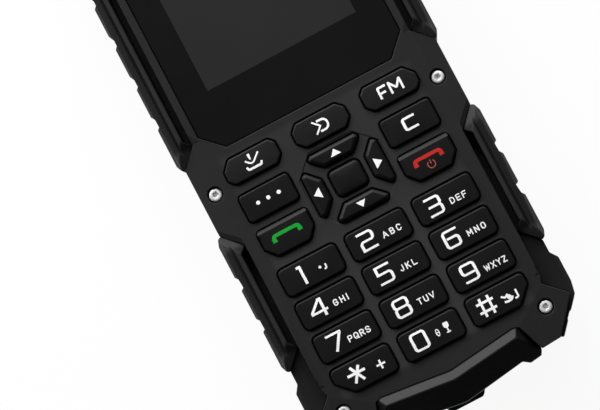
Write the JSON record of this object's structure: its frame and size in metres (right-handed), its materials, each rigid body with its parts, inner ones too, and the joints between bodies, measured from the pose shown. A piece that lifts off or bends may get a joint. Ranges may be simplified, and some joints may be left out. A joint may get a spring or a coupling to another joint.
{
  "type": "feature phone",
  "caption": "Rugged bar phone with a small display, separate hard keys on a sprung keypad, ribbed rubber bumpers, a port flap and a screwed battery cover.",
  "frame": {"origin": "centre of the bounding box, on the plane of the back face", "axes": "+X to the right across the keypad, +Y along the phone towards the display end, +Z out of the front face"},
  "size_m": [0.0636, 0.148, 0.0188],
  "materials": {
    "cover": "fine-grained dark grey moulded plastic",
    "lens": "polished dark pane, printed black round the picture",
    "foam": "adhesive foam",
    "display": "unlit panel",
    "frame_plastic": "moulded plastic",
    "steel": "pressed sheet",
    "mesh": "blackened woven mesh",
    "silicone": "moulded silicone",
    "dome_film": "clear film over metal domes",
    "board": "solder mask on glass-fibre board",
    "camera_glass": "polished",
    "torch_plastic": "frosted",
    "copper": "plated",
    "battery_wrap": "printed film over the cell",
    "lid": "textured moulded plastic",
    "screw": "bright plated",
    "housing": "moulded plastic",
    "bumper": "satin moulded elastomer",
    "flap": "moulded elastomer",
    "key": "satin hard key caps with printed legends"
  },
  "bodies": {
    "case": {"front_cover": "cover", "display_lens": "lens", "lens_gasket": "foam", "display_module": "display", "display_frame": "frame_plastic", "earpiece": "steel", "earpiece_mesh": "mesh", "keypad_mat": "silicone", "dome_sheet": "dome_film", "main_board": "board", "board_shields": "steel", "microphone": "steel", "loudspeaker": "frame_plastic", "vibration_motor": "steel", "usb_socket": "steel", "camera_module": "frame_plastic", "camera_window": "camera_glass", "torch_lens": "torch_plastic", "antenna": "copper", "sim_holder": "steel", "battery_contacts": "copper", "battery": "battery_wrap", "rear_housing": "housing", "case_seal": "silicone", "case_screws": "screw", "upper_left_bumper": "bumper", "upper_right_bumper": "bumper", "lower_left_bumper": "bumper", "lower_right_bumper": "bumper", "bottom_corner_guards": "bumper", "top_corner_guards": "bumper", "bottom_bumper": "bumper", "top_bumper": "bumper"},
    "flap": {"port_flap": "flap"},
    "lid": {"battery_cover": "lid", "cover_screws": "screw"},
    "key_1_cap": {"key_1": "key"},
    "key_2_cap": {"key_2": "key"},
    "key_3_cap": {"key_3": "key"},
    "key_4_cap": {"key_4": "key"},
    "key_5_cap": {"key_5": "key"},
    "key_6_cap": {"key_6": "key"},
    "key_7_cap": {"key_7": "key"},
    "key_8_cap": {"key_8": "key"},
    "key_9_cap": {"key_9": "key"},
    "key_star_cap": {"key_star": "key"},
    "key_0_cap": {"key_0": "key"},
    "key_hash_cap": {"key_hash": "key"},
    "key_soft_left_cap": {"key_soft_left": "key"},
    "key_top_cap": {"key_top": "key"},
    "key_soft_right_cap": {"key_soft_right": "key"},
    "key_menu_cap": {"key_menu": "key"},
    "key_clear_cap": {"key_clear": "key"},
    "key_call_cap": {"key_call": "key"},
    "key_end_cap": {"key_end": "key"},
    "nav_up_cap": {"nav_up": "key"},
    "nav_down_cap": {"nav_down": "key"},
    "nav_left_cap": {"nav_left": "key"},
    "nav_right_cap": {"nav_right": "key"},
    "nav_ok_cap": {"nav_ok": "key"}
  },
  "joints": [
    {"name": "key_1_press", "type": "slide", "parent": "case", "child": "key_1_cap", "axis": [0, 0, -1], "range_m": [0, 0.0004], "stiffness_N_per_m": 1500, "deforming": ["dome_sheet"]},
    {"name": "key_2_press", "type": "slide", "parent": "case", "child": "key_2_cap", "axis": [0, 0, -1], "range_m": [0, 0.0004], "stiffness_N_per_m": 1500, "deforming": ["dome_sheet"]},
    {"name": "key_3_press", "type": "slide", "parent": "case", "child": "key_3_cap", "axis": [0, 0, -1], "range_m": [0, 0.0004], "stiffness_N_per_m": 1500, "deforming": ["dome_sheet"]},
    {"name": "key_4_press", "type": "slide", "parent": "case", "child": "key_4_cap", "axis": [0, 0, -1], "range_m": [0, 0.0004], "stiffness_N_per_m": 1500, "deforming": ["dome_sheet"]},
    {"name": "key_5_press", "type": "slide", "parent": "case", "child": "key_5_cap", "axis": [0, 0, -1], "range_m": [0, 0.0004], "stiffness_N_per_m": 1500, "deforming": ["dome_sheet"]},
    {"name": "key_6_press", "type": "slide", "parent": "case", "child": "key_6_cap", "axis": [0, 0, -1], "range_m": [0, 0.0004], "stiffness_N_per_m": 1500, "deforming": ["dome_sheet"]},
    {"name": "key_7_press", "type": "slide", "parent": "case", "child": "key_7_cap", "axis": [0, 0, -1], "range_m": [0, 0.0004], "stiffness_N_per_m": 1500, "deforming": ["dome_sheet"]},
    {"name": "key_8_press", "type": "slide", "parent": "case", "child": "key_8_cap", "axis": [0, 0, -1], "range_m": [0, 0.0004], "stiffness_N_per_m": 1500, "deforming": ["dome_sheet"]},
    {"name": "key_9_press", "type": "slide", "parent": "case", "child": "key_9_cap", "axis": [0, 0, -1], "range_m": [0, 0.0004], "stiffness_N_per_m": 1500, "deforming": ["dome_sheet"]},
    {"name": "key_star_press", "type": "slide", "parent": "case", "child": "key_star_cap", "axis": [0, 0, -1], "range_m": [0, 0.0004], "stiffness_N_per_m": 1500, "deforming": ["dome_sheet"]},
    {"name": "key_0_press", "type": "slide", "parent": "case", "child": "key_0_cap", "axis": [0, 0, -1], "range_m": [0, 0.0004], "stiffness_N_per_m": 1500, "deforming": ["dome_sheet"]},
    {"name": "key_hash_press", "type": "slide", "parent": "case", "child": "key_hash_cap", "axis": [0, 0, -1], "range_m": [0, 0.0004], "stiffness_N_per_m": 1500, "deforming": ["dome_sheet"]},
    {"name": "key_soft_left_press", "type": "slide", "parent": "case", "child": "key_soft_left_cap", "axis": [0, 0, -1], "range_m": [0, 0.0004], "stiffness_N_per_m": 1500, "deforming": ["dome_sheet"]},
    {"name": "key_top_press", "type": "slide", "parent": "case", "child": "key_top_cap", "axis": [0, 0, -1], "range_m": [0, 0.0004], "stiffness_N_per_m": 1500, "deforming": ["dome_sheet"]},
    {"name": "key_soft_right_press", "type": "slide", "parent": "case", "child": "key_soft_right_cap", "axis": [0, 0, -1], "range_m": [0, 0.0004], "stiffness_N_per_m": 1500, "deforming": ["dome_sheet"]},
    {"name": "key_menu_press", "type": "slide", "parent": "case", "child": "key_menu_cap", "axis": [0, 0, -1], "range_m": [0, 0.0004], "stiffness_N_per_m": 1500, "deforming": ["dome_sheet"]},
    {"name": "key_clear_press", "type": "slide", "parent": "case", "child": "key_clear_cap", "axis": [0, 0, -1], "range_m": [0, 0.0004], "stiffness_N_per_m": 1500, "deforming": ["dome_sheet"]},
    {"name": "key_call_press", "type": "slide", "parent": "case", "child": "key_call_cap", "axis": [0, 0, -1], "range_m": [0, 0.0004], "stiffness_N_per_m": 1500, "deforming": ["dome_sheet"]},
    {"name": "key_end_press", "type": "slide", "parent": "case", "child": "key_end_cap", "axis": [0, 0, -1], "range_m": [0, 0.0004], "stiffness_N_per_m": 1500, "deforming": ["dome_sheet"]},
    {"name": "nav_up_press", "type": "slide", "parent": "case", "child": "nav_up_cap", "axis": [0, 0, -1], "range_m": [0, 0.0004], "stiffness_N_per_m": 1500, "deforming": ["dome_sheet"]},
    {"name": "nav_down_press", "type": "slide", "parent": "case", "child": "nav_down_cap", "axis": [0, 0, -1], "range_m": [0, 0.0004], "stiffness_N_per_m": 1500, "deforming": ["dome_sheet"]},
    {"name": "nav_left_press", "type": "slide", "parent": "case", "child": "nav_left_cap", "axis": [0, 0, -1], "range_m": [0, 0.0004], "stiffness_N_per_m": 1500, "deforming": ["dome_sheet"]},
    {"name": "nav_right_press", "type": "slide", "parent": "case", "child": "nav_right_cap", "axis": [0, 0, -1], "range_m": [0, 0.0004], "stiffness_N_per_m": 1500, "deforming": ["dome_sheet"]},
    {"name": "nav_ok_press", "type": "slide", "parent": "case", "child": "nav_ok_cap", "axis": [0, 0, -1], "range_m": [0, 0.0004], "stiffness_N_per_m": 1500, "deforming": ["dome_sheet"]},
    {"name": "flap_hinge", "type": "hinge", "parent": "case", "child": "flap", "pos_m": [0, -0.0719, 0.0052], "axis": [1, 0, 0], "range_deg": [0, 90]},
    {"name": "lid_lift", "type": "slide", "parent": "case", "child": "lid", "axis": [0, 0, -1], "range_m": [0, 0.025]}
  ]
}
